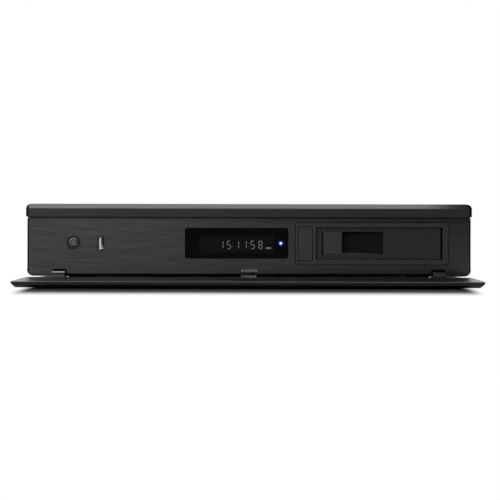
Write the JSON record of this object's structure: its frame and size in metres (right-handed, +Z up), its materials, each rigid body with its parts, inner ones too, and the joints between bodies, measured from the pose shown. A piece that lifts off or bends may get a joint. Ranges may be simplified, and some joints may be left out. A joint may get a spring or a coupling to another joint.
{
  "type": "media player with hard drive tray",
  "caption": "Full-width home media player with a drop-down front flap, window display and a slide-out hard drive tray with a swinging lever.",
  "frame": {"origin": "on the floor, under the middle of the whole object with its flap open", "axes": "+X to the right of the front, +Y to the back, +Z up; the front faces -Y"},
  "size_m": [0.43, 0.3468, 0.0778],
  "materials": {
    "panel_metal": "graphite anodised aluminium, brushed along the width",
    "bar_metal": "dark anodised extrusion with a bright upper chamfer",
    "flap_metal": "dark anodised plate, semi gloss",
    "smoked_window": "smoked acrylic, glossy",
    "display_glass": "vacuum display glass",
    "blue_led": "lit blue lens",
    "ring_black": "black moulded surround",
    "button_metal": "anodised cap with turned face",
    "bezel_plastic": "moulded, painted graphite",
    "lever_plastic": "moulded, painted graphite",
    "paddle_plastic": "moulded, painted graphite",
    "part_black": "black moulded",
    "white_plastic": "white insulator",
    "cover_paint": "fine black texture paint",
    "zinc_steel": "zinc plated sheet",
    "bare_steel": "bright steel",
    "dark_nickel": "dark nickel plate",
    "hinge_black": "black oxide",
    "board_green": "solder masked board",
    "board_tan": "plain laminate board",
    "brass_posts": "nickel free brass",
    "sink_aluminium": "black anodised extrusion",
    "coil_yellow": "taped winding",
    "can_sleeve": "shrink sleeve",
    "jack_plastic": "moulded block",
    "rocker_plastic": "moulded key",
    "foot_plastic": "moulded foot",
    "pad_rubber": "soft pad",
    "screw_black": "black screw heads"
  },
  "bodies": {
    "chassis": {"front_panel": "panel_metal", "front_bar": "bar_metal", "bar_seal": "ring_black", "chassis_front": "cover_paint", "base_pan": "zinc_steel", "top_cover": "cover_paint", "rear_panel": "cover_paint", "hinge_ears": "hinge_black", "hinge_knuckle": "bare_steel", "hinge_pins": "bare_steel", "display_window": "smoked_window", "display_module": "display_glass", "display_board": "board_green", "status_led": "blue_led", "power_ring": "ring_black", "power_switch": "part_black", "button_board": "board_green", "button_posts": "brass_posts", "front_usb_bezel": "ring_black", "front_usb_socket": "dark_nickel", "front_usb_tongue": "white_plastic", "rack_bezel": "bezel_plastic", "rack_cage": "zinc_steel", "rack_rails": "part_black", "rack_backplane": "board_green", "rack_socket": "part_black", "main_board": "board_green", "supply_board": "board_tan", "board_posts": "brass_posts", "heat_sink": "sink_aluminium", "processor_chip": "part_black", "transformer": "coil_yellow", "capacitors": "can_sleeve", "mains_inlet": "part_black", "inlet_pins": "bare_steel", "rocker_frame": "part_black", "rocker_pin": "bare_steel", "audio_sockets": "jack_plastic", "optical_socket": "part_black", "video_socket": "bare_steel", "video_tongue": "part_black", "network_socket": "bare_steel", "rear_usb_sockets": "bare_steel", "rear_usb_tongues": "white_plastic", "feet": "foot_plastic", "foot_pads": "pad_rubber", "cover_screws": "screw_black"},
    "flap": {"flap_panel": "flap_metal", "flap_window": "smoked_window", "hinge_arms": "flap_metal", "hinge_lugs": "hinge_black"},
    "tray": {"tray_frame": "part_black", "tray_nose": "part_black", "lever_pin": "bare_steel"},
    "lever": {"lever": "lever_plastic", "paddle_pin": "bare_steel"},
    "paddle": {"latch_paddle": "paddle_plastic"},
    "eject": {"eject_button": "bezel_plastic"},
    "power": {"power_button": "button_metal"},
    "rocker": {"rocker_key": "rocker_plastic"}
  },
  "joints": [
    {"name": "flap_hinge", "type": "hinge", "parent": "chassis", "child": "flap", "pos_m": [0, -0.1161, 0.0071], "axis": [1, 0, 0], "range_deg": [-90, 0]},
    {"name": "tray_slide", "type": "slide", "parent": "chassis", "child": "tray", "axis": [0, -1, 0], "range_m": [0, 0.145]},
    {"name": "lever_swing", "type": "hinge", "parent": "tray", "child": "lever", "pos_m": [0.181, -0.1112, 0.0396], "axis": [0, 0, 1], "range_deg": [0, 80]},
    {"name": "paddle_hinge", "type": "hinge", "parent": "lever", "child": "paddle", "pos_m": [0.073, -0.1144, 0.0402], "axis": [0, 0, -1], "range_deg": [0, 18], "stiffness_Nm_per_rad": 0.02},
    {"name": "eject_press", "type": "slide", "parent": "chassis", "child": "eject", "axis": [0, 1, 0], "range_m": [0, 0.0025], "stiffness_N_per_m": 400},
    {"name": "power_press", "type": "slide", "parent": "chassis", "child": "power", "axis": [0, 1, 0], "range_m": [0, 0.0015], "stiffness_N_per_m": 500},
    {"name": "rocker_tip", "type": "hinge", "parent": "chassis", "child": "rocker", "pos_m": [-0.1395, 0.1617, 0.02955], "axis": [1, 0, 0], "range_deg": [-16, 0]}
  ]
}
